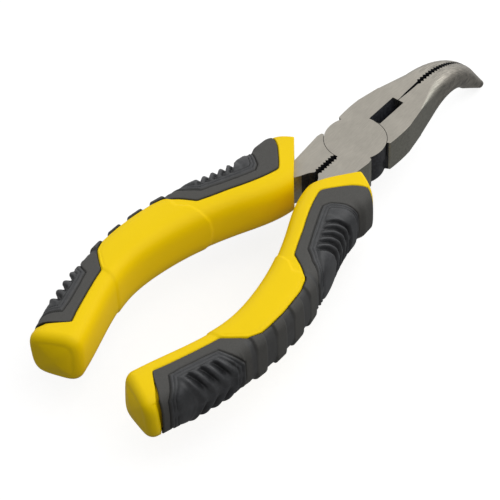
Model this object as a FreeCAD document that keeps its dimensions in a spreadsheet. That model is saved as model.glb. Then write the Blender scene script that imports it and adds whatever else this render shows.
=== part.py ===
import FreeCAD, Part
import math
import os
import re
from FreeCAD import Placement, Rotation, Vector
from Sketcher import Constraint

# Bent-nose pliers with a lap joint, closed, lying with the marked face of the head up.
# Millimetres.  The origin is on the pivot's axis, in the flat underside of the head.
# +X runs from the pivot to the nose, +Y to the tool's left, +Z up through the marked face.
# The upper lever carries the left jaw and the right handle, and the lower lever the other two.

SIZES = [
    # head
    ("head_thickness", 9.0),
    ("disc_radius_upper", 8.0),
    ("disc_radius_lower", 7.6),
    ("joint_slack", 0.15),
    ("lap_gap", 0.1),
    ("jaw_gap", 0.2),
    # jaw, from the joint to the start of the nose
    ("shoulder_front_x", 3.9),
    ("shoulder_front_y", 8.15),
    ("cheek_x", 12.2),
    ("cheek_y", 8.2),
    ("cheek_radius", 46.0),
    ("nose_start_x", 19.0),
    # nose: the top edge runs straight to nose_bend_x, round the bend, and straight to the tip
    ("nose_bend_x", 28.0),
    ("nose_bend_radius", 27.4),
    ("nose_bend_angle", 55.0),
    ("nose_tip_length", 8.8),
    ("nose_end_length", 0.7),
    ("nose_width_jaw", 6.9),
    ("nose_width_bend", 5.4),
    ("nose_width_hook", 2.7),
    ("nose_width_tip", 1.9),
    ("nose_depth_jaw", 9.0),
    ("nose_depth_bend", 9.0),
    ("nose_depth_hook", 5.7),
    ("nose_depth_tip", 2.3),
    # the slit between the gripping faces opens along the straight part and shuts round the bend
    ("nose_slit_bulge", 0.3),
    ("nose_slit_length", 26.0),
    ("nose_round_jaw", 0.05),
    ("nose_round_bend", 0.5),
    ("nose_round_hook", 0.9),
    ("nose_round_tip", 0.9),
    # wire cutter between the jaws
    ("cutter_front_x", 18.2),
    ("cutter_back_x", 8.1),
    ("cutter_half_width", 1.7),
    ("cutter_web", 0.8),
    # teeth
    ("nose_teeth_x", 27.0),
    ("nose_tooth_pitch", 1.2),
    ("nose_tooth_depth", 0.5),
    ("tang_tooth_pitch", 1.0),
    ("tang_tooth_depth", 0.5),
    # tang, from the joint into the handle
    ("tang_slit", 1.1),
    ("shoulder_rear_x", 3.8),
    ("shoulder_rear_y", 7.95),
    ("slit_end_x", 16.0),
    ("tang_thickness", 6.0),
    ("tang_half_width", 2.8),
    # pivot rivet, flush at both ends
    ("rivet_radius", 3.0),
    ("rivet_head_radius", 4.4),
    ("rivet_head_depth", 1.5),
    ("rivet_clearance", 0.015),
    # handle: where its middle line runs, and its half width there
    ("handle_top", 12.3),
    ("handle_bottom", -2.1),
    ("handle_corner", 4.2),
    ("guard_x", 12.5),
    ("guard_y", 8.9),
    ("guard_half", 7.7),
    ("collar_x", 24.0),
    ("collar_y", 9.6),
    ("collar_half", 7.8),
    ("neck_x", 34.0),
    ("neck_y", 12.8),
    ("neck_half", 6.75),
    ("front_knee_x", 46.0),
    ("front_knee_y", 17.4),
    ("front_knee_half", 6.4),
    ("front_belly_x", 58.0),
    ("front_belly_y", 20.0),
    ("front_belly_half", 6.05),
    ("rear_belly_x", 70.0),
    ("rear_belly_y", 20.3),
    ("rear_belly_half", 5.65),
    ("rear_knee_x", 82.0),
    ("rear_knee_y", 17.8),
    ("rear_knee_half", 6.0),
    ("heel_x", 94.0),
    ("heel_y", 14.1),
    ("heel_half", 6.6),
    ("butt_x", 101.0),
    ("butt_y", 12.0),
    ("butt_half", 6.6),
    # soft grip on the outside of the handle
    ("grip_thickness", 1.8),
]

HANDLE_STATIONS = [
    "guard", "collar", "neck", "front_knee", "front_belly",
    "rear_belly", "rear_knee", "heel", "butt",
]

NOSE_BEND_STEPS = 12
NOSE_CAP_STEPS = 3
NOSE_CAP_SHARE = 0.6
# The share of the pitch that each V takes.  The rest is a flat crest between two teeth.
NOTCH_SHARE = 0.96

# Outlines on a handle's top, given for the left handle in millimetres.
# The front is cut off slantwise, from the guard's tip back to the inner corner.
FRONT_CUT = [(-10, 30), (-12, 13), (-12, 10), (-17.5, 5.5), (-22, 2.7), (-24, -6), (-5, -6), (-5, 30)]
# The butt is cut off slantwise too, its inner corner nearer to the pivot.
BUTT_CUT = [(-103.6, 20.7), (-96.3, 6.5), (-93, 0), (-110, 0), (-110, 26)]
# The grip's edge runs from the guard to the butt, and back round the outside.
GRIP_EDGE = [(-14.2, 15), (-18.8, 9.6), (-23, 6.4), (-36, 11.6), (-44, 15.15), (-48.6, 22.5), (-56.6, 24),
             (-68.3, 24.5), (-71.4, 23.5), (-75.7, 18.2), (-92.8, 12.4), (-97.3, 18.8), (-101, 23.5),
             (-101, 40), (-10, 40), (-13, 18)]

doc = FreeCAD.newDocument("BentNosePliers")
sheet = doc.addObject("Spreadsheet::Sheet", "Sizes")
for row, (alias, value) in enumerate(SIZES, start=1):
    sheet.set("A%d" % row, alias)
    sheet.set("B%d" % row, str(value))
    sheet.setAlias("B%d" % row, alias)
doc.recompute()


def size(name):
    """The value of a cell of the sheet."""
    return float(sheet.get(name))


def bound(words):
    """An expression on the sheet's cells, from words such as 'disc_radius_upper + 1'."""
    return re.sub(r"([a-z][a-z_]*)", r"Sizes.\1", words)


def worth(words):
    """What such words come to now."""
    return float(sheet.evalExpression(bound(words)))


def origin_plane(body, role):
    return [item for item in body.Origin.OriginFeatures if item.Role == role][0]


def sketch_on(body, name, role, offset=Placement()):
    sketch = body.newObject("Sketcher::SketchObject", name)
    sketch.AttachmentSupport = [(origin_plane(body, role), "")]
    sketch.MapMode = "FlatFace"
    sketch.AttachmentOffset = offset
    return sketch


def outline(sketch, corners, rounds=None):
    """A closed outline through corners, each a pair of words bound to the sheet.

    rounds gives, for the side that starts at a corner, its radius in words and the side of the
    chord that it bulges to: 1 for the left of its direction, -1 for the right."""
    rounds = rounds or {}
    places = [Vector(worth(across), worth(up), 0) for across, up in corners]
    ends = []
    for index, start in enumerate(places):
        finish = places[(index + 1) % len(places)]
        if index in rounds:
            radius, hand = worth(rounds[index][0]), rounds[index][1]
            chord = finish - start
            left = Vector(-chord.y, chord.x, 0).normalize()
            centre = (start + finish) * 0.5 - left * hand * math.sqrt(radius ** 2 - (chord.Length / 2) ** 2)
            # Arcs run anticlockwise, so one that bulges to the left runs from finish to start.
            forward = hand < 0
            first, last = (start, finish) if forward else (finish, start)
            angles = [math.atan2(end.y - centre.y, end.x - centre.x) for end in (first, last)]
            if angles[1] < angles[0]:
                angles[1] += 2 * math.pi
            curve = Part.ArcOfCircle(Part.Circle(centre, Vector(0, 0, 1), radius), *angles)
        else:
            curve = Part.LineSegment(start, finish)
            forward = True
        sketch.addGeometry(curve)
        ends.append((1, 2) if forward else (2, 1))
    for index in range(len(places)):
        after = (index + 1) % len(places)
        sketch.addConstraint(Constraint("Coincident", index, ends[index][1], after, ends[after][0]))
    for index, (across, up) in enumerate(corners):
        for kind, words, value in (("DistanceX", across, places[index].x), ("DistanceY", up, places[index].y)):
            number = sketch.addConstraint(Constraint(kind, -1, 1, index, ends[index][0], value))
            sketch.setExpression("Constraints[%d]" % number, bound(words))
    for index, (radius, _) in rounds.items():
        number = sketch.addConstraint(Constraint("Radius", index, worth(radius)))
        sketch.setExpression("Constraints[%d]" % number, bound(radius))


def circle(sketch, radius):
    """A circle about the sketch's own origin, its radius in words."""
    sketch.addGeometry(Part.Circle(Vector(0, 0, 0), Vector(0, 0, 1), worth(radius)))
    sketch.addConstraint(Constraint("Coincident", 0, 3, -1, 1))
    number = sketch.addConstraint(Constraint("Radius", 0, worth(radius)))
    sketch.setExpression("Constraints[%d]" % number, bound(radius))


def extrude(body, kind, name, sketch, length, reverse=False):
    """A Pad or Pocket of the sketch along its normal, or against it with reverse."""
    made = body.newObject("PartDesign::" + kind, name)
    made.Profile = sketch
    made.Type = "Length"
    made.Reversed = reverse
    made.setExpression("Length", bound(length))


def nose_top(run):
    """The nose's top edge: the point and slope a run away from where the nose starts."""
    straight = size("nose_bend_x") - size("nose_start_x")
    radius = size("nose_bend_radius")
    bend = math.radians(size("nose_bend_angle"))
    slope = min(max((run - straight) / radius, 0.0), bend)
    beyond = max(run - straight - radius * bend, 0.0)
    across = size("nose_start_x") + min(run, straight)
    across += radius * math.sin(slope) + beyond * math.cos(bend)
    up = size("head_thickness") - radius * (1 - math.cos(slope)) - beyond * math.sin(bend)
    return across, up, slope


def nose_stations():
    """Sections of the nose: run, half width, depth and the share of its corners that is round."""
    straight = size("nose_bend_x") - size("nose_start_x")
    bend = size("nose_bend_radius") * math.radians(size("nose_bend_angle"))
    tip = size("nose_tip_length")
    zones = [("jaw", "bend", straight, 4), ("bend", "hook", bend, NOSE_BEND_STEPS), ("hook", "tip", tip, 2)]
    stations = []
    begin = 0
    for first, last, length, steps in zones:
        for step in range(steps):
            share = step / steps
            stations.append([begin + length * share])
            for item in ("width", "depth", "round"):
                start = size("nose_%s_%s" % (item, first))
                end = size("nose_%s_%s" % (item, last))
                stations[-1].append(start + (end - start) * share)
        begin += length
    # The tip ends in a quarter of an ellipse.
    for step in range(NOSE_CAP_STEPS + 1):
        turn = math.pi / 2 * step / (NOSE_CAP_STEPS + 0.6)
        stations.append([begin + size("nose_end_length") * math.sin(turn),
                         size("nose_width_tip") * (1 - NOSE_CAP_SHARE * (1 - math.cos(turn))),
                         size("nose_depth_tip") * (1 - NOSE_CAP_SHARE * (1 - math.cos(turn))),
                         size("nose_round_tip")])
    return stations


def nose_middle(run, depth):
    """The middle of the nose's depth at a run, and its slope."""
    across, up, slope = nose_top(run)
    return across - depth / 2 * math.sin(slope), up - depth / 2 * math.cos(slope), slope


def slit_edge(run):
    """How far the gripping face stands from the middle plane at a run."""
    swell = math.sqrt(max(math.sin(math.pi * min(run / size("nose_slit_length"), 1.0)), 0.0))
    return size("jaw_gap") / 2 + size("nose_slit_bulge") * swell


def nose_wire(run, width, depth, rounding):
    """A D-shaped section: flat on the gripping face, its two outer corners rounded."""
    across, up, slope = nose_middle(run, depth)
    near = slit_edge(run)
    corner = min(width - near, depth / 2) * rounding
    rise = Vector(math.sin(slope), 0, math.cos(slope))

    def at(out, high):
        return Vector(across, out, up) + rise * high

    half = depth / 2
    diagonal = corner * math.sqrt(0.5)
    flat = width - corner
    pieces = []
    points = [at(near, -half), at(near, half), at(flat, half)]
    pieces += [Part.LineSegment(points[0], points[1]), Part.LineSegment(points[1], points[2])]
    pieces.append(Part.Arc(at(flat, half), at(flat + diagonal, half - corner + diagonal), at(width, half - corner)))
    pieces.append(Part.LineSegment(at(width, half - corner), at(width, corner - half)))
    pieces.append(Part.Arc(at(width, corner - half), at(flat + diagonal, corner - half - diagonal), at(flat, -half)))
    pieces.append(Part.LineSegment(at(flat, -half), at(near, -half)))
    return Part.Wire([piece.toShape() for piece in pieces])


def nose(side):
    """One half of the bent nose, from the plate's end to the tip."""
    wires = [nose_wire(*station) for station in nose_stations()]
    solid = Part.makeLoft(wires, True, True)
    return solid if side > 0 else solid.mirror(Vector(0, 0, 0), Vector(0, 1, 0))


def lever(name, side):
    """A forged lever: side 1 has the left jaw and the upper disc, side -1 the right and lower."""
    body = doc.addObject("PartDesign::Body", name)
    upper = side > 0
    own_disc = "disc_radius_upper" if upper else "disc_radius_lower"
    other_disc = "disc_radius_lower" if upper else "disc_radius_upper"
    half = worth("head_thickness / 2")
    flip = "%d * " % side

    # The plate is the jaw's root and the front of the tang, at the head's full thickness.
    plate = sketch_on(body, name + "_plate_outline", "XY_Plane")
    corners = [
        ("nose_start_x", flip + "jaw_gap / 2"),
        ("nose_start_x", flip + "nose_width_jaw"),
        ("cheek_x", flip + "cheek_y"),
        ("shoulder_front_x", flip + "shoulder_front_y"),
        ("shoulder_front_x * 0.87", flip + "shoulder_front_y * 0.87"),
        ("-disc_radius_upper * 0.6", flip + "-tang_slit / 2"),
        ("-slit_end_x", flip + "-tang_slit / 2"),
        ("-slit_end_x - 1.1", flip + "-1.5"),
        ("-slit_end_x - 3.3", flip + "-2.6"),
        ("-collar_x", flip + "(tang_half_width + 1.4 - collar_y)"),
        ("-collar_x", flip + "(-tang_half_width - collar_y + 1.0)"),
        ("-slit_end_x", flip + "-7.2"),
        ("-slit_end_x + 7.6", flip + "-7.9"),
        ("-shoulder_rear_x - 1.4", flip + "-8.2"),
        ("-shoulder_rear_x", flip + "-shoulder_rear_y"),
        ("-shoulder_rear_x * 0.87", flip + "-shoulder_rear_y * 0.87"),
        ("disc_radius_upper * 0.6", flip + "jaw_gap / 2"),
    ]
    outline(plate, corners, {2: ("cheek_radius", -side)})
    extrude(body, "Pad", name + "_plate", plate, "head_thickness")

    # Half of the thickness is cleared for the other lever's disc, and the lever's own disc fills
    # the other half.
    clear = sketch_on(body, name + "_clear_outline", "XY_Plane", Placement(Vector(0, 0, half), Rotation()))
    circle(clear, other_disc + " + joint_slack")
    doc.recompute()
    before = body.Shape.Volume
    extrude(body, "Pocket", name + "_clear", clear, "head_thickness / 2 + lap_gap / 2", reverse=not upper)
    doc.recompute()
    if body.Shape.Volume > before - 100:
        raise RuntimeError(name + ": the lap pocket cut nothing")
    base = half + size("lap_gap") / 2 if upper else 0
    disc = sketch_on(body, name + "_disc_outline", "XY_Plane", Placement(Vector(0, 0, base), Rotation()))
    circle(disc, own_disc)
    extrude(body, "Pad", name + "_disc", disc, "head_thickness / 2 - lap_gap / 2")

    # The tang goes on inside the handle as a thinner strip that follows the handle's bow.
    strip = sketch_on(body, name + "_strip_outline", "XY_Plane",
                      Placement(Vector(0, 0, worth("(head_thickness - tang_thickness) / 2")), Rotation()))
    bow = ["collar", "neck", "front_knee", "front_belly", "rear_belly", "rear_knee"]
    inner = [("-%s_x" % at, flip + "(tang_half_width - %s_y)" % at) for at in bow]
    outer = [("-%s_x" % at, flip + "(-tang_half_width - %s_y)" % at) for at in reversed(bow)]
    inner[0] = ("1 - collar_x", inner[0][1])
    outer[-1] = ("1 - collar_x", outer[-1][1])
    outline(strip, inner + outer)
    extrude(body, "Pad", name + "_strip", strip, "tang_thickness")

    # Bevels from both faces leave the cutter's two edges at half the thickness.
    for face, edge in (("head_thickness", "head_thickness / 2 + cutter_web / 2"),
                       ("0", "head_thickness / 2 - cutter_web / 2")):
        bevel = sketch_on(body, "%s_bevel_%s" % (name, "top" if face != "0" else "under"), "YZ_Plane",
                          Placement(Vector(0, 0, size("cutter_back_x")), Rotation()))
        outside = face + " + 1" if face != "0" else "-1"
        outline(bevel, [(flip + "0", edge), (flip + "jaw_gap / 2", edge),
                        (flip + "cutter_half_width", face), (flip + "cutter_half_width", outside),
                        (flip + "0", outside)])
        extrude(body, "Pocket", bevel.Name + "_cut", bevel, "cutter_front_x - cutter_back_x", reverse=True)

    # The rivet's hole, countersunk at the outer face.
    slack = "rivet_clearance" if upper else "0"
    hole = sketch_on(body, name + "_rivet_hole_outline", "XZ_Plane")
    rivet_profile(hole, slack)
    groove = body.newObject("PartDesign::Groove", name + "_rivet_hole")
    groove.Profile = hole
    groove.ReferenceAxis = (hole, ["V_Axis"])
    groove.Angle = 360
    doc.recompute()
    return body


def rivet_profile(sketch, slack):
    """Half of the rivet's outline, grown outwards by slack."""
    shank = "rivet_radius + " + slack
    head = "rivet_head_radius + " + slack
    outline(sketch, [("0", "0"), (head, "0"), (shank, "rivet_head_depth"),
                     (shank, "head_thickness - rivet_head_depth"), (head, "head_thickness"),
                     ("0", "head_thickness")])


def notch(width, depth, length):
    """A three-sided prism that cuts a V groove: its edge at -Y depth, along Z, about its middle."""
    points = [Vector(-width / 2, 0.3, 0), Vector(-width / 2, 0, 0), Vector(0, -depth, 0),
              Vector(width / 2, 0, 0), Vector(width / 2, 0.3, 0)]
    face = Part.Face(Part.makePolygon(points + points[:1]))
    return face.extrude(Vector(0, 0, length)).translated(Vector(0, 0, -length / 2))


def teeth(side):
    """Every V groove of a lever: across the gripping face of its nose and along the tang's slit."""
    cuts = []
    pitch = size("nose_tooth_pitch")
    deep = size("nose_tooth_depth")
    stations = nose_stations()
    last_run = stations[-1][0] - size("nose_end_length") - pitch / 2
    run = size("nose_teeth_x") - size("nose_start_x") + (pitch / 2 if side > 0 else 0)
    while run < last_run:
        before = [item for item in stations if item[0] <= run][-1]
        after = [item for item in stations if item[0] > run][0]
        share = (run - before[0]) / (after[0] - before[0])
        depth = before[2] * (1 - share) + after[2] * share
        across, up, slope = nose_middle(run, depth)
        cut = notch(pitch * NOTCH_SHARE, deep, depth + 2)
        if side > 0:
            cut = cut.mirror(Vector(0, 0, 0), Vector(0, 1, 0))
        turn = Rotation(Vector(0, 1, 0), math.degrees(slope))
        cut.Placement = Placement(Vector(across, side * slit_edge(run), up), turn) * cut.Placement
        cuts.append(cut)
        run += pitch
    pitch = size("tang_tooth_pitch")
    deep = size("tang_tooth_depth")
    across = -size("slit_end_x") + pitch
    while across < -size("disc_radius_upper") - pitch / 2:
        cut = notch(pitch * NOTCH_SHARE, deep, size("head_thickness") + 2)
        if side < 0:
            cut = cut.mirror(Vector(0, 0, 0), Vector(0, 1, 0))
        place = Vector(across, -side * size("tang_slit") / 2, worth("head_thickness / 2"))
        cut.Placement = Placement(place, Rotation()) * cut.Placement
        cuts.append(cut)
        across += pitch
    return Part.makeCompound(cuts)


def feature(name, shape):
    part = doc.addObject("Part::Feature", name)
    part.Shape = shape
    return part


def toothed(name, side):
    """The whole forged lever: plate, tang and nose in one, with its teeth cut."""
    forging = doc.addObject("Part::Fuse", name + "_forging")
    forging.Base = lever(name + "_plate_and_tang", side)
    forging.Tool = feature(name + "_nose", nose(side))
    part = doc.addObject("Part::Cut", name)
    part.Base = forging
    part.Tool = feature(name + "_teeth", teeth(side))
    part.Label = name
    return part


def rounded_section(middle, along, half_width, low, high, corner):
    """A rounded rectangle across a handle, as a closed wire."""
    out = Vector(-along.y, along.x, 0)
    tall = (high - low) / 2
    centre = Vector(middle.x, middle.y, (high + low) / 2)
    corner = min(corner, half_width * 0.8, tall * 0.8)

    def at(across, up):
        return centre + out * across + Vector(0, 0, up)

    edges = []
    for across, up in ((1, 1), (-1, 1), (-1, -1), (1, -1)):
        # Each quarter starts in the middle of a side, so that every section has the same seams.
        first_flat = across * up > 0
        bend = Vector(across * (half_width - corner), up * (tall - corner), 0)
        beside = at(across * half_width, bend.y)
        above = at(bend.x, up * tall)
        knee = at(bend.x + across * corner * math.sqrt(0.5), bend.y + up * corner * math.sqrt(0.5))
        middle_side = at(across * half_width, 0)
        middle_top = at(0, up * tall)
        quarter = [(middle_side, beside), (beside, knee, above), (above, middle_top)]
        if not first_flat:
            quarter = [tuple(reversed(piece)) for piece in reversed(quarter)]
        for piece in quarter:
            if len(piece) == 3:
                edges.append(Part.Arc(*piece).toShape())
            else:
                edges.append(Part.LineSegment(*piece).toShape())
    return Part.Wire(edges)


def handle_solid(side, shrink):
    """The whole handle on the right (side 1) or left (side -1), its surface moved in by shrink."""
    places = [Vector(-size(at + "_x"), -side * size(at + "_y"), 0) for at in HANDLE_STATIONS]
    wires = []
    for index, at in enumerate(HANDLE_STATIONS):
        before = places[max(index - 1, 0)]
        after = places[min(index + 1, len(places) - 1)]
        along = (after - before).normalize()
        wires.append(rounded_section(places[index], along, size(at + "_half") - shrink,
                                     size("handle_bottom") + shrink, size("handle_top") - shrink,
                                     size("handle_corner") - shrink))
    return Part.makeLoft(wires, True, False)


def prism(points, side):
    """A tall prism over an outline given for the left handle, mirrored for the right one."""
    corners = [Vector(x, -side * y, -20) for x, y in points]
    face = Part.Face(Part.makePolygon(corners + corners[:1]))
    return face.extrude(Vector(0, 0, 50))


def handle(side):
    """The hard sleeve and the soft grip of one handle, moulded round the lever's tang."""
    whole = handle_solid(side, 0)
    whole = whole.cut(prism(FRONT_CUT, side)).cut(prism(BUTT_CUT, side))
    core = handle_solid(side, size("grip_thickness"))
    grip = whole.common(prism(GRIP_EDGE, side)).cut(core)
    sleeve = whole.cut(grip)
    return sleeve, grip


upper_lever = toothed("upper_lever", 1)
lower_lever = toothed("lower_lever", -1)
doc.recompute()

rivet = doc.addObject("PartDesign::Body", "pivot_rivet")
rivet.Label = "pivot_rivet"
rivet_outline = sketch_on(rivet, "rivet_outline", "XZ_Plane")
rivet_profile(rivet_outline, "0")
turned = rivet.newObject("PartDesign::Revolution", "rivet_turned")
turned.Profile = rivet_outline
turned.ReferenceAxis = (rivet_outline, ["V_Axis"])
turned.Angle = 360
doc.recompute()

nodes = [upper_lever, lower_lever, rivet]
for side, hand, steel in ((1, "right", upper_lever), (-1, "left", lower_lever)):
    sleeve_shape, grip_shape = handle(side)
    for word, shape in (("sleeve", sleeve_shape.cut(steel.Shape)), ("grip", grip_shape)):
        part = doc.addObject("Part::Feature", "%s_%s" % (hand, word))
        part.Shape = shape
        part.Placement = Placement()
        part.Label = "%s_%s" % (hand, word)
        nodes.append(part)
doc.recompute()

for item in doc.Objects:
    if "Invalid" in item.State or "Error" in item.State:
        raise RuntimeError("%s did not build: %s" % (item.Label, item.State))
os.makedirs("parts", exist_ok=True)
for node in nodes:
    if node.Shape.isNull() or not node.Shape.isValid():
        raise RuntimeError(node.Label + " has no valid shape")
    print(node.Label, len(node.Shape.Solids), "solid", round(node.Shape.Volume), "mm3", node.Shape.BoundBox)
    node.Shape.exportStep("parts/%s.step" % node.Label)
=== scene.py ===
import math

import bmesh
import bpy
import numpy as np
from bpy.props import FloatProperty, FloatVectorProperty, PointerProperty
from mathutils import Matrix, Vector


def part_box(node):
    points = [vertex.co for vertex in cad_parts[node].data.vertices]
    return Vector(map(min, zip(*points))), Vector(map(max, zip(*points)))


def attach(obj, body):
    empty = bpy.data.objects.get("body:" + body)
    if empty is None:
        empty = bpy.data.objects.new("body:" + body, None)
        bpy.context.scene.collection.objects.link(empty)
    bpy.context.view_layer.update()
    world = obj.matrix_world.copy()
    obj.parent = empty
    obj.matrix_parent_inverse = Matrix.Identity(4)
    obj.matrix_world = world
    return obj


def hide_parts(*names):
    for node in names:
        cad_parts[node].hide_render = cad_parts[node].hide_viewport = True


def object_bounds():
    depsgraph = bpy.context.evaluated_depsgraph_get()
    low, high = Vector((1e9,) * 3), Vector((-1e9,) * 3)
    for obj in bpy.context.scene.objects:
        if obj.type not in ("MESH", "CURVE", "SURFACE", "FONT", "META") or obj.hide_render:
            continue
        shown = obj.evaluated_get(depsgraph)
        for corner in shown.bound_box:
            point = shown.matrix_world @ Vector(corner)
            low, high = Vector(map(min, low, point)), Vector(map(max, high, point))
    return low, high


bl_info = {
    "name": "Bent-nose pliers",
    "version": (1, 0, 0),
    "blender": (4, 5, 0),
    "location": "3D View > Sidebar > Pliers",
    "description": "Moulded two-part handles and ground steel for a pair of bent-nose pliers",
    "category": "Object",
}

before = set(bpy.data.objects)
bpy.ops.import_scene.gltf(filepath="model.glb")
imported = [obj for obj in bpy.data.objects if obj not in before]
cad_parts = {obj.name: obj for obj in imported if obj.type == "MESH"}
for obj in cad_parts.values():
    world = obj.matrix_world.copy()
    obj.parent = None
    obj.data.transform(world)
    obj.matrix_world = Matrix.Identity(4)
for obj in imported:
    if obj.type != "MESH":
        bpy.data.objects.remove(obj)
CAD_LOW, CAD_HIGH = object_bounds()

# Lengths are millimetres until a mesh or a light is placed, and metres from then on.
MM = 0.001

# Where the left handle's middle line runs: back from the pivot, out to the side, half its width.
HANDLE_STATIONS = np.array([
    (12.5, 8.9, 7.7),
    (24.0, 9.6, 7.8),
    (34.0, 12.8, 6.75),
    (46.0, 17.4, 6.4),
    (58.0, 20.0, 6.05),
    (70.0, 20.3, 5.65),
    (82.0, 17.8, 6.0),
    (94.0, 14.1, 6.6),
    (101.0, 12.0, 6.6),
])
_, SLEEVE_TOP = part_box("left_sleeve")
HANDLE_HALF_HEIGHT = 7.2
HANDLE_MIDDLE = SLEEVE_TOP.z / MM - HANDLE_HALF_HEIGHT
# The power that makes the section a soft rectangle: 2 would be an ellipse.
SECTION_POWER = 3.5

# The seam between sleeve and grip on the top face: along the handle, and out from its middle line.
SEAM = np.array([
    (1.1, 6.2), (3.2, 4.2), (6.3, 0.8), (9.9, -2.9), (16.6, -2.4), (23.4, -1.9), (28.1, -1.8),
    (32.2, -1.5), (35.6, 1.6), (38.7, 4.0), (42.0, 4.4), (50.3, 4.3), (57.2, 4.1), (60.2, 3.2),
    (65.2, -1.2), (70.6, -1.4), (79.9, -1.7), (83.3, -2.0), (84.6, 1.4), (85.7, 5.0), (86.3, 5.9),
])
GRIP_START, GRIP_END = SEAM[0, 0], SEAM[-1, 0]
# The two textured pads, outlined in the same way, each closed by straight lines down its side.
FRONT_PAD = np.array([
    (9.8, 7.6), (11.3, 4.8), (13.0, 1.5), (14.7, 0.2), (21.1, 0.7), (29.7, 1.2), (33.1, 3.5),
    (36.5, 6.2),
])
REAR_PAD = np.array([
    (63.3, 5.6), (67.6, 1.7), (72.4, 1.3), (77.7, 1.2), (80.9, 1.4), (82.7, 5.0), (84.1, 6.2),
])
# Fine grooves round a pad: distance inside its outline, depth, half width.
PAD_GROOVES = ((0.0, 0.5, 0.28), (1.0, 0.26, 0.22), (1.9, 0.3, 0.24))

# Finger ribs: where the first scoop starts, how many, and how far apart.
FRONT_RIBS = (17.7, 5, 2.32)
REAR_RIBS = (69.2, 3, 3.2)
# Ribs lean: at an angle round the section (degrees up from the side), their shift along the handle.
FRONT_LEAN = ((0, 30, 52, 73, 90), (-2.6, -1.7, 0.0, 2.3, 4.2))
REAR_LEAN = ((0, 30, 55, 75, 90), (-3.0, -1.8, 0.0, 1.5, 2.6))
# The neck's raised lugs, each from and to along the handle.
NECK_LUGS = ((37.9, 41.0), (44.0, 47.7), (50.7, 53.9), (57.1, 60.0))

# Where the butt's flat end is, and how much of its width it leans by.
SLEEVE_END = 89.6
SLEEVE_END_LEAN = 0.19
# The sleeve's front is cut off along a slant, from its peak to its inner side.
FRONT_PEAK = (-11.3, 10.7, 0)
FRONT_INNER = (-22.2, 2.3, 0)
# Points closer than this are one point.
WELD = 0.004

# The paper floor: half its size and its gap below the tool, in metres.
FLOOR_HALF = 3.0
FLOOR_GAP = 0.0006
# The camera: its place in metres, what it looks at, its focal length, and its roll in degrees.
CAMERA_PLACE = (-0.336628, -0.255472, 0.397701)
CAMERA_TARGET = (-43.538, -0.907, 4.5)
FOCAL_LENGTH = 163.27
CAMERA_ROLL = -2.628
# The way to the brightest part of the studio.
BRIGHT_WAY = (0.53, 0.46, 0.71)


def linear(code):
    """An sRGB hex colour such as '#F4D500' as linear red, green and blue."""
    parts = [int(code[at:at + 2], 16) / 255 for at in (1, 3, 5)]
    return tuple(c / 12.92 if c <= 0.04045 else ((c + 0.055) / 1.055) ** 2.4 for c in parts)


def colour(name, description, code):
    return FloatVectorProperty(name=name, description=description, subtype="COLOR", size=3,
                               min=0.0, max=1.0, default=linear(code))


def length(name, description, value, low=0.0, high=0.01):
    return FloatProperty(name=name, description=description, subtype="DISTANCE", unit="LENGTH",
                         min=low, max=high, default=value * MM)


class PliersHandleSettings(bpy.types.PropertyGroup):
    grip_wall: length("Grip wall", "Thickness of the soft grip", 1.1)
    seam_drop: length("Seam drop", "How far the edges sink at the seam of grip and sleeve", 0.42)
    seam_round: length("Seam rounding", "Width over which an edge rounds into the seam", 0.45)
    rib_depth: length("Rib depth", "Depth of the scoops between the front finger ribs", 1.25)
    swell_depth: length("Swell depth", "Depth of the hollows between the rear swellings", 1.15)
    lug_height: length("Lug height", "How far the lugs on the neck stand up", 0.5)
    panel_height: length("Panel height", "How far the sleeve's middle panel stands up", 0.28)
    butt_round: length("Butt rounding", "Radius of the edge round the butt", 2.3)


class PliersFinishSettings(bpy.types.PropertyGroup):
    sleeve: colour("Sleeve", "Moulded polypropylene of the sleeves", "#FFD900")
    grip: colour("Grip", "Matt rubber of the band round the pads", "#4A4946")
    pad: colour("Pad", "Glossier rubber of the ribs and swellings", "#3B3C3E")
    ground: colour("Ground steel", "Flat faces ground bright", "#B0ABA1")
    forged: colour("Forged steel", "Sides as forged, darkened by oil", "#B4B3A8")
    black: colour("Blackened steel", "Cutter, teeth and joint, hardened and black", "#26272B")


class PliersStageSettings(bpy.types.PropertyGroup):
    floor: colour("Floor", "Paper under the tool", "#FFFFFF")
    key: FloatProperty(name="Key light", description="Power of the large light above", subtype="POWER",
                       min=0.0, default=2.5)
    fill: FloatProperty(name="Fill", description="Strength of the even light from all round",
                        min=0.0, default=0.95)


def natural_spline(at, values):
    """A smooth curve through values, straight beyond both ends."""
    count = len(at)
    gap = np.diff(at)
    system = np.eye(count)
    right = np.zeros(count)
    for i in range(1, count - 1):
        system[i, i - 1:i + 2] = gap[i - 1], 2 * (gap[i - 1] + gap[i]), gap[i]
        right[i] = 6 * ((values[i + 1] - values[i]) / gap[i] - (values[i] - values[i - 1]) / gap[i - 1])
    bend = np.linalg.solve(system, right)

    def inside(where, slope=False):
        i = np.clip(np.searchsorted(at, where) - 1, 0, count - 2)
        h, a, b = gap[i], at[i + 1] - where, where - at[i]
        left = values[i] / h - bend[i] * h / 6
        up = values[i + 1] / h - bend[i + 1] * h / 6
        if slope:
            return -bend[i] * a ** 2 / (2 * h) + bend[i + 1] * b ** 2 / (2 * h) - left + up
        return (bend[i] * a ** 3 + bend[i + 1] * b ** 3) / (6 * h) + left * a + up * b

    def curve(where, slope=False):
        held = np.clip(where, at[0], at[-1])
        if slope:
            return inside(held, True)
        return inside(held) + (where - held) * inside(held, True)

    return curve


CHORDS = np.hypot(*np.diff(HANDLE_STATIONS[:, :2], axis=0).T)
KNOTS = np.concatenate([[0], np.cumsum(CHORDS)])
spine_back, spine_out, half_width = [natural_spline(KNOTS, column) for column in HANDLE_STATIONS.T]


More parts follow.
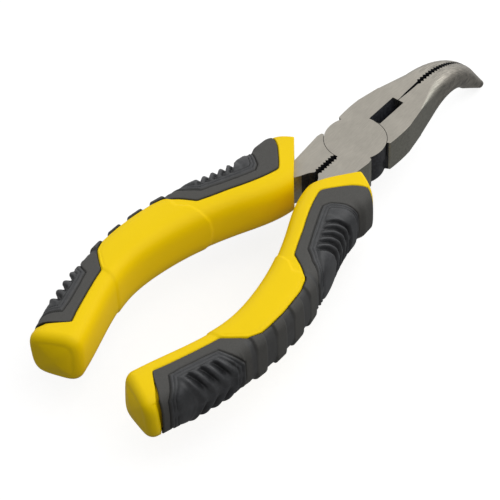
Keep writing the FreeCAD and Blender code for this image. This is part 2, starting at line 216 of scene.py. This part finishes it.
def smooth(low, high, value):
    """0 below low, 1 above high, and an even S between."""
    share = np.clip((value - low) / (high - low), 0, 1)
    return share * share * (3 - 2 * share)


def bump(distance, half):
    """1 at no distance, falling smoothly to 0 at half."""
    return 1 - smooth(0, half, np.abs(distance))


def section_height(along, out):
    """How high the section's top is above its middle, at a distance out from the middle line."""
    share = np.clip(np.abs(out) / half_width(along), 0, 0.999)
    return HANDLE_HALF_HEIGHT * (1 - share ** SECTION_POWER) ** (1 / SECTION_POWER)


def place(along, angle, proud):
    """Points of the left handle: along it, at an angle up from its outer side, proud of its surface.

    Gives the points and, for each, the distance out and up from the middle line."""
    wide, tall = half_width(along), HANDLE_HALF_HEIGHT
    cosine, sine = np.cos(angle), np.sin(angle)
    reach = (np.abs(cosine / wide) ** SECTION_POWER + np.abs(sine / tall) ** SECTION_POWER)
    reach = reach ** (-1 / SECTION_POWER)
    out, up = reach * cosine, reach * sine
    lean_out = np.sign(out) * np.abs(out / wide) ** (SECTION_POWER - 1) / wide
    lean_up = np.sign(up) * np.abs(up / tall) ** (SECTION_POWER - 1) / tall
    size = np.hypot(lean_out, lean_up)
    out = out + proud * lean_out / size
    up = up + proud * lean_up / size
    back, side = spine_back(along, True), spine_out(along, True)
    speed = np.hypot(back, side)
    points = np.stack([-(spine_back(along) - out * side / speed),
                       spine_out(along) + out * back / speed,
                       HANDLE_MIDDLE + up], axis=-1)
    return points, out, up


def front_slant(along, out):
    """How far back the handle's front lies: it peaks beside the middle line, falls away outwards."""
    return (0.5 * np.clip(out - 1.8, 0, None) - 1.2) * (1 - smooth(0, 7, along))


def around(along, out, up):
    """Distance round the section from its outermost line, to either side."""
    wide = half_width(along)
    # Past the inner corner the way goes on down the inner side, so it still grows.
    corner = section_height(along, wide / 2)
    return wide - out + np.where(out < -wide / 2, 2 * corner - np.abs(up), np.abs(up))


def seam_angle(along):
    """The angle round the section at which the grip ends and the sleeve begins."""
    held = np.clip(along, GRIP_START, GRIP_END)
    out = sum(np.interp(held + shift, SEAM[:, 0], SEAM[:, 1]) for shift in (-0.35, 0, 0.35)) / 3
    return np.arctan2(section_height(held, out), out)


def seam_around(along):
    angle = seam_angle(along)
    _, out, up = place(along, angle, 0)
    return around(along, out, up)


def inside_outline(outline, along, round_distance):
    """Signed distance to a pad's outline, above 0 inside it."""
    over = around(outline[:, 0], outline[:, 1], section_height(outline[:, 0], outline[:, 1]))
    corners = np.column_stack([outline[:, 0], over])
    corners = np.vstack([[corners[0, 0], -9], corners, [corners[-1, 0], -9]])
    nearest = np.full(along.shape, 1e9)
    for (x0, y0), (x1, y1) in zip(corners[:-1], corners[1:]):
        run = (x1 - x0) ** 2 + (y1 - y0) ** 2
        share = np.clip(((along - x0) * (x1 - x0) + (round_distance - y0) * (y1 - y0)) / run, 0, 1)
        gap = np.hypot(along - x0 - share * (x1 - x0), round_distance - y0 - share * (y1 - y0))
        nearest = np.minimum(nearest, gap)
    limit = np.interp(along, outline[:, 0], over, left=-99, right=-99)
    return np.where(round_distance < limit, nearest, -nearest)


def scoops(ribs, lean, along, degrees, wall):
    """0 on the ribs and 1 at the bottom of the scoops, which start steeply and end gently."""
    first, count, pitch = ribs
    local = along - np.interp(degrees, *lean) - first
    step = local / pitch
    phase = (step - np.floor(step)) * pitch
    cut = smooth(0, wall, phase) * (1 - smooth(wall, pitch * 0.86, phase))
    return cut * ((step >= 0) & (step < count))


def grip_relief(along, angle, sizes):
    """How far the grip stands proud of the plain handle, how far a point belongs to a pad, and how
    much painted shade darkens it where shade falls in its hollows, fine grooves and seam."""
    _, out, up = place(along, angle, 0)
    distance = around(along, out, up)
    degrees = np.degrees(np.abs(angle))
    proud = np.full(along.shape, 0.12)

    # Guard: a swelling on the outer side, just behind the front edge.
    outer = 1 - smooth(28, 62, degrees)
    proud += 0.85 * outer * smooth(-0.6, 2.2, along) * (1 - smooth(7.0, 10.0, along))

    front = inside_outline(FRONT_PAD, along, distance)
    rear = inside_outline(REAR_PAD, along, distance)
    pad = np.maximum(front, rear)
    # Painted shade: the share by which hollows, fine grooves and the seam are darkened, standing in for the
    # shade that falls there.
    painted_shade = np.zeros(along.shape)
    for at, deep, half in PAD_GROOVES:
        fade = 1 if at == 0 else smooth(4, 14, degrees)
        proud -= deep * bump(pad - at, half) * fade
        # Painted shade along each fine groove round a pad.
        painted_shade = np.maximum(painted_shade, bump(pad - at, half * 1.1) * fade * min(1.0, deep / 0.4))
    inner = smooth(2.1, 3.0, pad)
    proud += 0.18 * smooth(0.1, 0.5, pad) + 0.15 * inner

    # Front pad: a raised block, then ribs with crescent scoops, then a ramp down to the neck.
    block = smooth(11.6, 12.6, along) * (1 - smooth(15.6, 17.2, along))
    proud += 0.35 * block * smooth(1.0, 2.4, front) * (1 - smooth(40, 70, degrees) * 0.6)
    reach = smooth(-4, 14, degrees) * (1 - smooth(66, 75, degrees)) * 0.8 + 0.2 * (degrees < 60)
    cut = scoops(FRONT_RIBS, FRONT_LEAN, along, degrees, 0.55)
    ribs = smooth(1.8, 2.4, front)
    proud += 0.3 * ribs * smooth(16.5, 18.0, along) * (1 - smooth(29.0, 35.0, along))
    proud -= sizes.rib_depth / MM * cut * ribs * reach
    # Painted shade in the front scoops.
    painted_shade = np.maximum(painted_shade, 0.7 * cut * ribs * reach)

    # Rear pad: rounded swellings with the same crescents between them.
    lean = np.interp(degrees, *REAR_LEAN)
    wave = 0.5 + 0.5 * np.cos(2 * math.pi * (along - lean - REAR_RIBS[0] + 0.9) / REAR_RIBS[2])
    span = smooth(66.0, 68.5, along - lean) * (1 - smooth(79.2, 80.6, along - lean))
    swell = smooth(1.8, 3.0, rear)
    proud += 0.45 * wave * swell * span * (1 - smooth(50, 74, degrees))
    cut = scoops(REAR_RIBS, REAR_LEAN, along, degrees, 0.7)
    reach = smooth(12, 40, degrees) * (1 - smooth(62, 72, degrees))
    proud -= sizes.swell_depth / MM * cut * swell * reach
    # Painted shade in the rear scoops.
    painted_shade = np.maximum(painted_shade, 0.6 * cut * swell * reach)

    # Neck: lugs that stand up between shallow recesses, which are also darkened with painted shade below.
    lug = sum(smooth(a - 0.2, a + 0.2, along) * (1 - smooth(b - 0.2, b + 0.2, along))
              for a, b in NECK_LUGS)
    neck = smooth(36.3, 37.2, along) * (1 - smooth(61.0, 61.8, along)) * (pad < 0)
    # They are crisp along the shoulder and melt into the side.
    crisp = 0.25 + 0.75 * smooth(22, 46, degrees)
    proud += neck * crisp * (sizes.lug_height / MM * lug - 0.15 * (1 - lug))
    for ridge in (63.7, 66.0):
        proud += 0.3 * bump(along - ridge, 0.45) * outer

    # The edge sinks into the seam on every side.
    edge = np.minimum(seam_around(along) - distance, np.minimum(along - GRIP_START, GRIP_END - along))
    round_over = sizes.seam_round / MM
    proud -= sizes.seam_drop / MM * (1 - np.sqrt(np.clip(edge / round_over, 0, 1)))
    # The pads take the darker pad rubber, and the recesses between the neck lugs take 0.55 of it as painted
    # shade.
    pad_and_recess_shade = smooth(0.1, 0.5, pad) + 0.55 * neck * (1 - lug)
    # Painted shadow: a dark line along the edge of the seam.
    painted_shade = np.maximum(painted_shade, 1 - smooth(0.05, 0.4, edge))
    return proud, np.clip(pad_and_recess_shade, 0, 1), np.clip(painted_shade, 0, 1)


def sleeve_relief(along, angle, sizes):
    """How far the sleeve stands proud of the plain handle, outside the grip."""
    _, out, up = place(along, angle, 0)
    distance = around(along, out, up)
    degrees = np.degrees(np.abs(angle))
    front = np.interp(degrees, (90, 105, 150, 180), (37.5, 35.0, 31.5, 31.0))
    rear = np.interp(degrees, (90, 150, 180), (64.6, 66.3, 66.5))
    beyond = distance - seam_around(along)
    panel = smooth(-0.5, 0.5, along - front) * (1 - smooth(-0.5, 0.5, along - rear))
    proud = sizes.panel_height / MM * panel
    line = bump(beyond - 1.05, 0.3) * smooth(0, 1.5, along - front) * smooth(0, 1.5, rear - along)
    proud -= 0.13 * line
    covered = (along > GRIP_START) & (along < GRIP_END)
    edge = np.where(covered, beyond, np.minimum(np.abs(along - GRIP_START), np.abs(along - GRIP_END))
                    + 99 * (degrees > np.degrees(seam_angle(along))))
    drop = sizes.seam_drop / MM * (1 - np.sqrt(np.clip(edge / (sizes.seam_round / MM), 0, 1)))
    return proud - drop


def grid_shape(columns, rows):
    """A bmesh grid, and for each of its points which column and row it is in."""
    shape = bmesh.new()
    bmesh.ops.create_grid(shape, x_segments=columns, y_segments=rows, size=1)
    across = np.array([v.co.x for v in shape.verts])
    down = np.array([v.co.y for v in shape.verts])
    column = np.rint((across + 1) / 2 * columns).astype(int)
    row = np.rint((down + 1) / 2 * rows).astype(int)
    return shape, column, row


def finish_shape(shape, name, left):
    """Mirrors the shape for the right handle, closes its seams and makes it an object."""
    if not left:
        bmesh.ops.scale(shape, vec=(1, -1, 1), verts=shape.verts)
    bmesh.ops.remove_doubles(shape, verts=shape.verts, dist=WELD * MM)
    bmesh.ops.recalc_face_normals(shape, faces=shape.faces)
    mesh = bpy.data.meshes.new(name)
    for face in shape.faces:
        face.smooth = True
    shape.to_mesh(mesh)
    shape.free()
    made = bpy.data.objects.new(name, mesh)
    bpy.context.scene.collection.objects.link(made)
    return made


def make_grip(side, sizes):
    """The soft grip of one handle: a sheet round the outside, worked into ribs and lugs."""
    left = side == "left"
    columns, rows = 410, 116
    shape, column, row = grid_shape(columns, rows)
    along = GRIP_START + (GRIP_END - GRIP_START) * column / columns
    angle = (2 * row / rows - 1) * seam_angle(along)
    proud, pad_and_recess_shade, painted_shade = grip_relief(along, angle, sizes)
    _, out, _ = place(along, angle, proud)
    points, _, _ = place(along + front_slant(along, out), angle, proud)
    # The pad layer also carries painted shade for the neck recesses, and the second layer the painted shade
    # of hollows, grooves and seam.
    pad_layer = shape.verts.layers.float.new("pad")
    painted_shade_layer = shape.verts.layers.float.new("painted_shade")
    for vert, point, share, shade_share in zip(shape.verts, points, pad_and_recess_shade, painted_shade):
        vert.co = Vector(point) * MM
        vert[pad_layer] = share
        vert[painted_shade_layer] = shade_share
    name = side + "_grip_rubber"
    made = finish_shape(shape, name, left)
    # A sheet has no inside of its own, so its outer side is told by the way from the spine.
    middle = Vector(np.append(-spine_back(45.0), (1 if left else -1) * spine_out(45.0)).tolist()
                    + [HANDLE_MIDDLE]) * MM
    face = min(made.data.polygons, key=lambda f: (f.center - middle).length)
    if face.normal.dot(face.center - middle) < 0:
        made.data.flip_normals()
    wall = made.modifiers.new("Wall", "SOLIDIFY")
    wall.thickness = sizes.grip_wall
    wall.offset = -1
    return made


def sleeve_rows(sizes):
    """Rings of the sleeve: along the handle, moved in from its surface, share of the way out."""
    lip = 0.85
    rings = [(0.0, lip, share) for share in np.linspace(0, 0.95, 6)]
    rings += [(lip * (1 - math.cos(turn)), lip * (1 - math.sin(turn)), 1.0)
              for turn in np.linspace(0, math.pi / 2, 7)]
    steps = np.arange(lip + 0.12, SLEEVE_END - 4, 0.34)
    # Extra rings make the grip's two ends crisp.
    ends = [GRIP_START - 0.06, GRIP_START + 0.02, GRIP_END - 0.02, GRIP_END + 0.06]
    steps = np.concatenate([steps, ends])
    rings += [(step, 0.0, 1.0) for step in np.sort(steps)]
    radius = sizes.butt_round / MM
    rings += [(SLEEVE_END - radius * (1 - math.sin(turn)), radius * (1 - math.cos(turn)), 1.0)
              for turn in np.linspace(0, math.pi / 2, 12)]
    dome = 0.8
    rings += [(SLEEVE_END + dome * (1 - share ** 2), radius, share)
              for share in np.linspace(0.93, 0, 14)]
    return np.array(rings)


def make_sleeve(side, sizes):
    """The hard sleeve of one handle: a closed tube, sunk where the grip covers it."""
    left = side == "left"
    rings = sleeve_rows(sizes)
    under, beside = 14, 46
    shares = np.concatenate([np.linspace(0, 0.975, under), [1.0]])
    beyond = np.concatenate([[0.012, 0.024, 0.036], np.linspace(0.05, 1, beside)])
    half = np.concatenate([shares, 1 + beyond])
    round_shares = np.concatenate([-half[:0:-1], half])
    shape, ring, place_round = grid_shape(len(rings) - 1, len(round_shares) - 1)
    along, inward, share = rings[ring].T
    share_round = round_shares[place_round]
    seam = seam_angle(along)
    size = np.abs(share_round)
    turned = np.where(size <= 1, size * seam, seam + (size - 1) * (math.pi - seam))
    angle = np.sign(share_round) * turned
    covered = (size < 1) & (along > GRIP_START) & (along < GRIP_END)
    proud = np.where(covered, -sizes.grip_wall / MM - 0.05, sleeve_relief(along, angle, sizes))
    # The butt leans: its inner side stops short of its outer side.
    _, out, up = place(along, angle, proud - inward)
    tail = smooth(SLEEVE_END - 12, SLEEVE_END, along)
    lean = SLEEVE_END_LEAN * out * (0.5 + 0.5 * up / HANDLE_HALF_HEIGHT) * tail * share
    lean += front_slant(along, out) * share
    points, _, _ = place(along + lean, angle, proud - inward)
    centre, _, _ = place(along, angle, 0)
    centre[:, 0] = -spine_back(along)
    centre[:, 1] = spine_out(along)
    centre[:, 2] = HANDLE_MIDDLE
    points = centre + (points - centre) * share[:, None]
    for vert, point in zip(shape.verts, points):
        vert.co = Vector(point) * MM
    bmesh.ops.remove_doubles(shape, verts=shape.verts, dist=WELD * MM)
    # The front is cut off slantwise towards the inner side, and closed.
    near = Vector(FRONT_PEAK) * MM
    far = Vector(FRONT_INNER) * MM
    across = (far - near).cross(Vector((0, 0, 1))).normalized()
    if across.x < 0:
        across.negate()
    parts = shape.verts[:] + shape.edges[:] + shape.faces[:]
    cut = bmesh.ops.bisect_plane(shape, geom=parts, plane_co=near, plane_no=across, clear_outer=True)
    rim = [item for item in cut["geom_cut"] if isinstance(item, bmesh.types.BMEdge)]
    bmesh.ops.holes_fill(shape, edges=rim, sides=0)
    return finish_shape(shape, side + "_sleeve_polypropylene", left)


def add(tree, kind, inputs=None, **settings):
    """A node with its settings, and its inputs set to values or linked to sockets."""
    node = tree.nodes.new(kind)
    for name, value in settings.items():
        setattr(node, name, value)
    for name, value in (inputs or {}).items():
        if isinstance(value, bpy.types.NodeSocket):
            tree.links.new(value, node.inputs[name])
        else:
            node.inputs[name].default_value = value
    return node


def blank_material(name):
    made = bpy.data.materials.new(name)
    made.use_nodes = True
    made.node_tree.nodes.clear()
    return made, made.node_tree


def in_millimetres(tree):
    """The coordinates node, and Object coordinates in millimetres."""
    where = add(tree, "ShaderNodeTexCoord")
    scaled = add(tree, "ShaderNodeVectorMath", {0: where.outputs["Object"], "Scale": 1 / MM},
                 operation="SCALE")
    return where, scaled.outputs[0]


def calc(tree, operation, first, second=0.0, third=0.0):
    node = add(tree, "ShaderNodeMath", {0: first, 1: second, 2: third}, operation=operation)
    return node.outputs[0]


def ramp(tree, value, low, high):
    """0 below low and 1 above high, or the other way round when low is above high."""
    node = add(tree, "ShaderNodeMapRange", {"Value": value, "From Min": low, "From Max": high})
    return node.outputs["Result"]


def mix(tree, share, first, second):
    node = add(tree, "ShaderNodeMix", data_type="RGBA")
    colours = [socket for socket in node.inputs if socket.type == "RGBA"]
    for socket, value in ((node.inputs[0], share), (colours[0], first), (colours[1], second)):
        if isinstance(value, bpy.types.NodeSocket):
            tree.links.new(value, socket)
        elif socket.type == "RGBA":
            socket.default_value = (*value[:3], 1)
        else:
            socket.default_value = value
    return [socket for socket in node.outputs if socket.type == "RGBA"][0]


def tinted(colour_value, factor):
    return tuple(channel * factor for channel in colour_value)


def close(tree, shader):
    add(tree, "ShaderNodeOutputMaterial", {"Surface": shader.outputs[0]})


def sleeve_material(finish):
    """Polypropylene, injection moulded: saturated and waxy, a soft sheen over a fine spark texture."""
    made, tree = blank_material("moulded_polypropylene")
    _, mm = in_millimetres(tree)
    # Spark-eroded mould texture, drawn as coarse as shows: 0.31 mm between its grains.
    grain = add(tree, "ShaderNodeTexNoise", {"Vector": mm, "Scale": 1 / 0.3125, "Detail": 3.0,
                                             "Roughness": 0.6})
    # Slow variation of the pigment, over 12.5 mm.
    cloud = add(tree, "ShaderNodeTexNoise", {"Vector": mm, "Scale": 1 / 12.5, "Detail": 2.0})
    base = mix(tree, cloud.outputs["Fac"], tinted(finish.sleeve, 0.97), tinted(finish.sleeve, 1.03))
    # Hands polish it in patches about 3 mm across.
    handled = add(tree, "ShaderNodeTexNoise", {"Vector": mm, "Scale": 0.35, "Detail": 4.0,
                                               "Roughness": 0.65})
    rough = add(tree, "ShaderNodeMapRange", {"Value": handled.outputs["Fac"], "To Min": 0.36,
                                             "To Max": 0.5})
    relief = add(tree, "ShaderNodeBump", {"Height": grain.outputs["Fac"], "Strength": 0.12,
                                          "Distance": 0.03 * MM})
    shader = add(tree, "ShaderNodeBsdfPrincipled", {
        "Base Color": base, "Roughness": rough.outputs["Result"], "Normal": relief.outputs["Normal"],
        "IOR": 1.49, "Specular IOR Level": 0.14})
    close(tree, shader)
    return made


def grip_material(finish):
    """Thermoplastic rubber, overmoulded: matt grey on the band, darker and slicker on the pads."""
    made, tree = blank_material("overmoulded_rubber")
    _, mm = in_millimetres(tree)
    # The pad share (with painted shade in the neck recesses) and the painted shade of hollows, grooves and
    # seam, as set on the mesh.
    pad, painted_shade = [add(tree, "ShaderNodeAttribute", attribute_name=name,
                      attribute_type="GEOMETRY").outputs["Fac"] for name in ("pad", "painted_shade")]
    # The band's sand texture has grains about 0.4 mm apart.
    sand = add(tree, "ShaderNodeTexNoise", {"Vector": mm, "Scale": 2.6, "Detail": 4.0,
                                            "Roughness": 0.7})
    # Pale dust is caught in the pads in smears about 2 mm across.
    dust = add(tree, "ShaderNodeTexNoise", {"Vector": mm, "Scale": 1 / 2, "Detail": 6.0,
                                            "Roughness": 0.75})
    band = mix(tree, ramp(tree, sand.outputs["Fac"], 0.3, 0.7), tinted(finish.grip, 0.86),
               tinted(finish.grip, 1.12))
    smear = mix(tree, ramp(tree, dust.outputs["Fac"], 0.42, 0.72), tinted(finish.pad, 0.8),
                tinted(finish.pad, 1.45))
    rubber = mix(tree, pad, band, smear)
    # Painted shade: the hollows, the fine grooves and the seam are darkened towards 0.18 of the pad colour.
    base = mix(tree, calc(tree, "MULTIPLY", painted_shade, 0.85), rubber, tinted(finish.pad, 0.18))
    slick = add(tree, "ShaderNodeMapRange", {"Value": dust.outputs["Fac"], "From Min": 0.3, "From Max": 0.7,
                                             "To Min": 0.34, "To Max": 0.52})
    matt = add(tree, "ShaderNodeMix", {"Factor": pad, "A": 0.66, "B": slick.outputs["Result"]})
    relief = add(tree, "ShaderNodeBump", {"Height": sand.outputs["Fac"], "Strength": 0.35,
                                          "Distance": 0.06 * MM})
    shader = add(tree, "ShaderNodeBsdfPrincipled", {
        "Base Color": base, "Roughness": matt.outputs[0], "Normal": relief.outputs["Normal"],
        "IOR": 1.5})
    close(tree, shader)
    return made


def steel_material(finish, name):
    """Drop-forged carbon steel: faces ground to a fine slanting grain, sides as forged, joint black."""
    made, tree = blank_material(name)
    where, mm = in_millimetres(tree)
    split = add(tree, "ShaderNodeSeparateXYZ", {0: mm})
    facing = add(tree, "ShaderNodeSeparateXYZ", {0: where.outputs["Normal"]})
    x, y, z = split.outputs
    upright = calc(tree, "ABSOLUTE", facing.outputs["Z"])
    flat = calc(tree, "GREATER_THAN", upright, 0.9)
    at_face = calc(tree, "MAXIMUM", ramp(tree, z, 8.85, 8.93), ramp(tree, z, 0.15, 0.07))
    ground = calc(tree, "MULTIPLY", flat, at_face)

    # Grinding lines across the tool at a slant, drawn as coarse as shows: 0.2 mm apart.
    turn = add(tree, "ShaderNodeMapping", {"Vector": mm, "Rotation": (0, 0, math.radians(-38)),
                                           "Scale": (0.35, 5.0, 1.0)})
    lines = add(tree, "ShaderNodeTexNoise", {"Vector": turn.outputs[0], "Scale": 1.0, "Detail": 4.0,
                                             "Roughness": 0.6})
    cloud = add(tree, "ShaderNodeTexNoise", {"Vector": mm, "Scale": 0.16, "Detail": 4.0, "Roughness": 0.6})
    pits = add(tree, "ShaderNodeTexNoise", {"Vector": mm, "Scale": 1.6, "Detail": 6.0, "Roughness": 0.7})
    tone = calc(tree, "ADD", calc(tree, "MULTIPLY", lines.outputs["Fac"], 0.6),
                calc(tree, "MULTIPLY", cloud.outputs["Fac"], 0.4))
    face = mix(tree, ramp(tree, tone, 0.35, 0.65), tinted(finish.ground, 0.86), tinted(finish.ground, 1.1))

    # Sides: dark along the jaw, brighter round the bend of the nose, partly as rubbed polish and partly as
    # a painted highlight.
    bend = ramp(tree, x, 22.0, 33.0)
    forged = mix(tree, ramp(tree, pits.outputs["Fac"], 0.3, 0.7), tinted(finish.forged, 0.75),
                 tinted(finish.forged, 1.15))
    speck = add(tree, "ShaderNodeTexNoise", {"Vector": turn.outputs[0], "Scale": 0.7, "Detail": 5.0,
                                             "Roughness": 0.75})
    # Painted highlight and polish: the bend's sides reach up to 1.45 times the ground-steel colour.
    polish_and_highlight = mix(tree, ramp(tree, speck.outputs["Fac"], 0.36, 0.68), tinted(finish.ground, 0.62),
                 tinted(finish.ground, 1.45))
    sides = mix(tree, bend, forged, polish_and_highlight)
    surface = mix(tree, ground, sides, face)

    # Black: what faces the middle plane, and the rims and notches of the joint.
    inward = calc(tree, "MULTIPLY", facing.outputs["Y"], calc(tree, "SIGN", y))
    gripping = calc(tree, "MULTIPLY", calc(tree, "LESS_THAN", inward, -0.3),
                    calc(tree, "LESS_THAN", calc(tree, "ABSOLUTE", y), 2.4))
    squares = calc(tree, "ADD", calc(tree, "MULTIPLY", x, x), calc(tree, "MULTIPLY", y, y))
    radius = calc(tree, "SQRT", squares)
    ring = calc(tree, "COMPARE", radius, 7.4, 1.2)
    joint = calc(tree, "MULTIPLY", ring, calc(tree, "LESS_THAN", upright, 0.7))
    dark = calc(tree, "MAXIMUM", gripping, joint)
    black = mix(tree, ramp(tree, pits.outputs["Fac"], 0.45, 0.75), finish.black, tinted(finish.black, 3.2))
    base = mix(tree, dark, surface, black)

    bare = calc(tree, "SUBTRACT", 1.0, calc(tree, "MULTIPLY", dark, 0.75))
    gloss = add(tree, "ShaderNodeMapRange", {"Value": lines.outputs["Fac"], "To Min": 0.3, "To Max": 0.46})
    relief = add(tree, "ShaderNodeBump", {"Height": tone, "Strength": 0.16, "Distance": 0.04 * MM})
    shader = add(tree, "ShaderNodeBsdfPrincipled", {
        "Base Color": base, "Metallic": bare, "Roughness": gloss.outputs["Result"],
        "Normal": relief.outputs["Normal"]})
    close(tree, shader)
    return made


def floor_material(stage):
    """Matt paper: plain white with a trace of fibre, glowing evenly so that shadows stay faint."""
    made, tree = blank_material("white_paper")
    _, mm = in_millimetres(tree)
    fibre = add(tree, "ShaderNodeTexNoise", {"Vector": mm, "Scale": 0.4, "Detail": 3.0})
    base = mix(tree, fibre.outputs["Fac"], tinted(stage.floor, 0.28), tinted(stage.floor, 0.32))
    shader = add(tree, "ShaderNodeBsdfPrincipled", {
        "Base Color": base, "Roughness": 0.9, "Emission Color": (1, 1, 1, 1), "Emission Strength": 0.8})
    close(tree, shader)
    return made


def dress(made, material):
    made.data.materials.clear()
    made.data.materials.append(material)


class PLIERS_OT_levers(bpy.types.Operator):
    """Gives the two forged levers and the rivet their ground, forged and blackened finishes"""
    bl_idname = "pliers.levers"
    bl_label = "Finish levers and rivet"

    def execute(self, context):
        finish = context.scene.pliers_finish
        lever = steel_material(finish, "forged_carbon_steel")
        rivet = steel_material(finish, "ground_rivet_steel")
        for name, material in (("upper_lever", lever), ("lower_lever", lever), ("pivot_rivet", rivet)):
            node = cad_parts[name]
            if not node.material_slots:
                node.data.materials.append(None)
            for slot in node.material_slots:
                slot.material = material
        return {"FINISHED"}


class PLIERS_OT_sleeves(bpy.types.Operator):
    """Moulds the hard yellow sleeve of each handle"""
    bl_idname = "pliers.sleeves"
    bl_label = "Make sleeves"

    def execute(self, context):
        material = sleeve_material(context.scene.pliers_finish)
        for side, body in (("left", "lower_half"), ("right", "upper_half")):
            sleeve = make_sleeve(side, context.scene.pliers_handle)
            dress(sleeve, material)
            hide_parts(side + "_sleeve")
            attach(sleeve, body)
        return {"FINISHED"}


class PLIERS_OT_grips(bpy.types.Operator):
    """Moulds the soft ribbed grip on the outside of each handle"""
    bl_idname = "pliers.grips"
    bl_label = "Make grips"

    def execute(self, context):
        material = grip_material(context.scene.pliers_finish)
        for side, body in (("left", "lower_half"), ("right", "upper_half")):
            grip = make_grip(side, context.scene.pliers_handle)
            dress(grip, material)
            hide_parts(side + "_grip")
            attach(grip, body)
        return {"FINISHED"}


class PLIERS_OT_stage(bpy.types.Operator):
    """Sets the paper floor, the studio light and the camera"""
    bl_idname = "pliers.stage"
    bl_label = "Set the stage"

    def execute(self, context):
        scene, stage = context.scene, context.scene.pliers_stage
        floor_shape = bmesh.new()
        bmesh.ops.create_grid(floor_shape, x_segments=8, y_segments=8, size=FLOOR_HALF)
        bmesh.ops.translate(floor_shape, vec=(0, 0, CAD_LOW.z - FLOOR_GAP), verts=floor_shape.verts)
        mesh = bpy.data.meshes.new("paper_floor")
        floor_shape.to_mesh(mesh)
        floor_shape.free()
        floor = bpy.data.objects.new("paper_floor", mesh)
        scene.collection.objects.link(floor)
        dress(floor, floor_material(stage))
        # The paper's glow is kept off the tool, whose underside stays in shade.
        floor.visible_diffuse = False
        floor.visible_glossy = False

        middle = (CAD_LOW + CAD_HIGH) / 2
        for name, offset, size, share in (("key_light", (0.12, -0.42, 0.5), 0.9, 1.0),
                                          ("rim_light", (0.5, -0.1, 0.3), 0.4, 0.12)):
            lamp = bpy.data.lights.new(name, "AREA")
            lamp.shape = "SQUARE"
            lamp.size = size
            lamp.energy = stage.key * share
            light = bpy.data.objects.new(name, lamp)
            light.location = middle + Vector(offset)
            light.rotation_euler = (-Vector(offset)).to_track_quat("-Z", "Y").to_euler()
            scene.collection.objects.link(light)

        world = bpy.data.worlds.new("studio")
        world.use_nodes = True
        back = world.node_tree.nodes["Background"]
        # The studio is brighter beyond the tool than behind the viewer.
        tree = world.node_tree
        way = add(tree, "ShaderNodeTexCoord").outputs["Generated"]
        toward = add(tree, "ShaderNodeVectorMath", {0: way, 1: Vector(BRIGHT_WAY)},
                     operation="DOT_PRODUCT")
        glow = add(tree, "ShaderNodeMapRange", {
            "Value": toward.outputs["Value"], "From Min": -0.1, "From Max": 0.95,
            "To Min": 0.2 * stage.fill, "To Max": 0.95 * stage.fill})
        back.inputs["Color"].default_value = (1, 1, 1, 1)
        tree.links.new(glow.outputs["Result"], back.inputs["Strength"])
        scene.world = world
        scene.view_settings.view_transform = "Standard"

        lens = bpy.data.cameras.new("camera")
        lens.sensor_width = 36
        lens.lens = FOCAL_LENGTH
        camera = bpy.data.objects.new("camera", lens)
        target = Vector(CAMERA_TARGET) * MM
        camera.location = Vector(CAMERA_PLACE)
        ahead = (target - camera.location).normalized()
        right = ahead.cross(Vector((0, 0, 1))).normalized()
        above = right.cross(ahead)
        roll = math.radians(CAMERA_ROLL)
        turned = right * math.cos(roll) + above * math.sin(roll)
        upward = turned.cross(ahead)
        camera.matrix_world = Matrix.Translation(camera.location) @ Matrix(
            (turned, upward, -ahead)).transposed().to_4x4()
        scene.collection.objects.link(camera)
        scene.camera = camera
        return {"FINISHED"}


class PLIERS_PT_panel(bpy.types.Panel):
    """Sizes, finishes and steps of the pliers"""
    bl_idname = "PLIERS_PT_panel"
    bl_label = "Bent-nose pliers"
    bl_space_type = "VIEW_3D"
    bl_region_type = "UI"
    bl_category = "Pliers"

    def draw(self, context):
        for group in SETTINGS:
            box = self.layout.box()
            values = getattr(context.scene, group)
            for name in values.__annotations__:
                box.prop(values, name)
        for step in STEPS:
            self.layout.operator("pliers." + step)


STEPS = ("levers", "sleeves", "grips", "stage")
SETTINGS = {
    "pliers_handle": PliersHandleSettings,
    "pliers_finish": PliersFinishSettings,
    "pliers_stage": PliersStageSettings,
}
CLASSES = (PliersHandleSettings, PliersFinishSettings, PliersStageSettings, PLIERS_OT_levers,
           PLIERS_OT_sleeves, PLIERS_OT_grips, PLIERS_OT_stage, PLIERS_PT_panel)


def register():
    for item in CLASSES:
        bpy.utils.register_class(item)
    for name, group in SETTINGS.items():
        setattr(bpy.types.Scene, name, PointerProperty(type=group))


def unregister():
    for name in SETTINGS:
        delattr(bpy.types.Scene, name)
    for item in reversed(CLASSES):
        bpy.utils.unregister_class(item)


def main():
    register()
    for step in STEPS:
        getattr(bpy.ops.pliers, step)()


if __name__ == "__main__":
    main()
